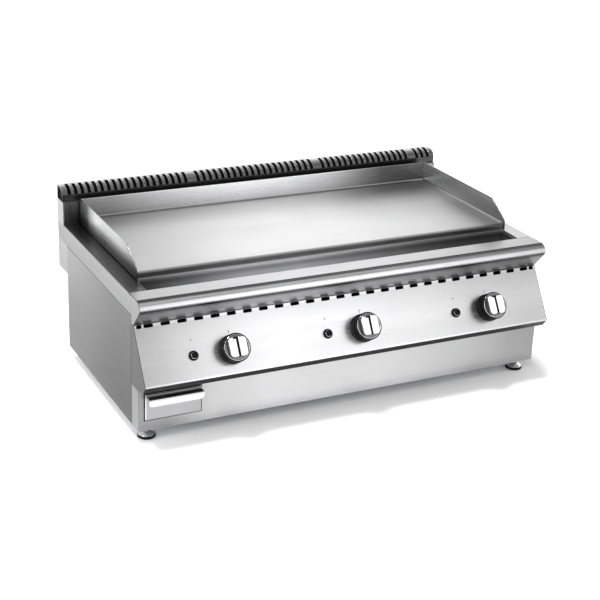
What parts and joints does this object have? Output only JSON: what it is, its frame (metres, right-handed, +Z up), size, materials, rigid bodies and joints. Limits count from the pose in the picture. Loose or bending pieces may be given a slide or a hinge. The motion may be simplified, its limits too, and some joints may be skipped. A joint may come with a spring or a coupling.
{
  "type": "flat top griddle",
  "caption": "Counter-top gas griddle with a smooth plate inside splash guards, front grease trough and drawer, sloped control panel with knobs and push igniters, rear flue.",
  "frame": {"origin": "on the surface the appliance stands on, under the middle of its overall box", "axes": "+X to the right seen from the front, +Y to the rear (flue side), +Z up"},
  "size_m": [1.2, 0.7214, 0.495],
  "materials": {
    "steel_casing": "satin brushed stainless steel, vertical grain",
    "steel_worktop": "satin brushed stainless steel, grain along the length",
    "steel_control_panel": "fine satin stainless steel",
    "steel_apron": "satin brushed stainless steel",
    "steel_grille": "polished stainless steel",
    "griddle_steel": "ground steel plate, satin",
    "steel_guard": "satin stainless steel",
    "steel_trough": "satin stainless steel",
    "knob_chrome": "black moulded skirt with a chrome plated face and grip",
    "black_plastic": "moulded phenolic, semi-matt black",
    "bright_chrome": "bright chrome",
    "foot_steel": "turned stainless steel",
    "brass": "machined brass",
    "insulation": "ceramic fibre board",
    "aluminium_tube": "drawn aluminium tube",
    "copper_probe": "drawn copper sheath",
    "galvanised": "zinc coated steel sheet"
  },
  "bodies": {
    "chassis": {"base_pan": "galvanised", "burner_1": "galvanised", "burner_2": "galvanised", "burner_3": "galvanised", "chamber_rails": "galvanised", "combustion_tray": "galvanised", "control_cheek_left": "steel_casing", "control_cheek_right": "steel_casing", "control_panel": "steel_control_panel", "drain_chute": "galvanised", "drawer_guide_left": "galvanised", "drawer_guide_right": "galvanised", "flue_duct": "steel_worktop", "flue_grille": "steel_grille", "flue_riser_front": "steel_worktop", "foot_sockets": "galvanised", "gas_inlet": "brass", "gas_rail": "galvanised", "gas_valve_1": "brass", "gas_valve_2": "brass", "gas_valve_3": "brass", "grease_trough": "steel_trough", "griddle_plate": "griddle_steel", "igniter_bodies": "black_plastic", "igniter_nuts": "bright_chrome", "injector_holders": "brass", "insulation_board": "insulation", "knob_bezels": "black_plastic", "lower_front_panel": "steel_apron", "panel_screws": "bright_chrome", "pilot_burners": "brass", "rear_panel": "steel_casing", "side_panel_left": "steel_casing", "side_panel_right": "steel_casing", "splash_guard_left": "steel_guard", "splash_guard_rear": "steel_guard", "splash_guard_right": "steel_guard", "supply_tubes": "aluminium_tube", "thermocouples": "copper_probe", "worktop_frame": "steel_worktop"},
    "valve_1": {"valve_plug_1": "brass"},
    "knob_unit_1": {"valve_stem_1": "brass", "knob_1": "knob_chrome"},
    "igniter_1": {"igniter_button_1": "black_plastic"},
    "valve_2": {"valve_plug_2": "brass"},
    "knob_unit_2": {"valve_stem_2": "brass", "knob_2": "knob_chrome"},
    "igniter_2": {"igniter_button_2": "black_plastic"},
    "valve_3": {"valve_plug_3": "brass"},
    "knob_unit_3": {"valve_stem_3": "brass", "knob_3": "knob_chrome"},
    "igniter_3": {"igniter_button_3": "black_plastic"},
    "drawer": {"drawer_front": "steel_apron", "drawer_handle": "steel_apron", "drawer_tray": "galvanised"},
    "foot_front_left_unit": {"foot_front_left": "foot_steel"},
    "foot_front_right_unit": {"foot_front_right": "foot_steel"},
    "foot_rear_left_unit": {"foot_rear_left": "foot_steel"},
    "foot_rear_right_unit": {"foot_rear_right": "foot_steel"}
  },
  "joints": [
    {"name": "valve_turn_1", "type": "hinge", "parent": "chassis", "child": "valve_1", "pos_m": [-0.3545, -0.30666, 0.23054], "axis": [0, -0.8449, 0.5349], "range_deg": [0, 210]},
    {"name": "knob_push_1", "type": "slide", "parent": "valve_1", "child": "knob_unit_1", "axis": [0, 0.8449, -0.5349], "range_m": [0, 0.004], "stiffness_N_per_m": 900, "springref_m": -0.005},
    {"name": "igniter_press_1", "type": "slide", "parent": "chassis", "child": "igniter_1", "axis": [0, 0.8449, -0.5349], "range_m": [0, 0.005], "stiffness_N_per_m": 600, "springref_m": -0.004},
    {"name": "valve_turn_2", "type": "hinge", "parent": "chassis", "child": "valve_2", "pos_m": [0.0235, -0.30666, 0.23054], "axis": [0, -0.8449, 0.5349], "range_deg": [0, 210]},
    {"name": "knob_push_2", "type": "slide", "parent": "valve_2", "child": "knob_unit_2", "axis": [0, 0.8449, -0.5349], "range_m": [0, 0.004], "stiffness_N_per_m": 900, "springref_m": -0.005},
    {"name": "igniter_press_2", "type": "slide", "parent": "chassis", "child": "igniter_2", "axis": [0, 0.8449, -0.5349], "range_m": [0, 0.005], "stiffness_N_per_m": 600, "springref_m": -0.004},
    {"name": "valve_turn_3", "type": "hinge", "parent": "chassis", "child": "valve_3", "pos_m": [0.418, -0.30666, 0.23054], "axis": [0, -0.8449, 0.5349], "range_deg": [0, 210]},
    {"name": "knob_push_3", "type": "slide", "parent": "valve_3", "child": "knob_unit_3", "axis": [0, 0.8449, -0.5349], "range_m": [0, 0.004], "stiffness_N_per_m": 900, "springref_m": -0.005},
    {"name": "igniter_press_3", "type": "slide", "parent": "chassis", "child": "igniter_3", "axis": [0, 0.8449, -0.5349], "range_m": [0, 0.005], "stiffness_N_per_m": 600, "springref_m": -0.004},
    {"name": "drawer_slide", "type": "slide", "parent": "chassis", "child": "drawer", "axis": [0, -1, 0], "range_m": [0, 0.35]},
    {"name": "foot_front_left_screw", "type": "slide", "parent": "chassis", "child": "foot_front_left_unit", "axis": [0, 0, -1], "range_m": [0, 0.015]},
    {"name": "foot_front_right_screw", "type": "slide", "parent": "chassis", "child": "foot_front_right_unit", "axis": [0, 0, -1], "range_m": [0, 0.015]},
    {"name": "foot_rear_left_screw", "type": "slide", "parent": "chassis", "child": "foot_rear_left_unit", "axis": [0, 0, -1], "range_m": [0, 0.015]},
    {"name": "foot_rear_right_screw", "type": "slide", "parent": "chassis", "child": "foot_rear_right_unit", "axis": [0, 0, -1], "range_m": [0, 0.015]}
  ]
}
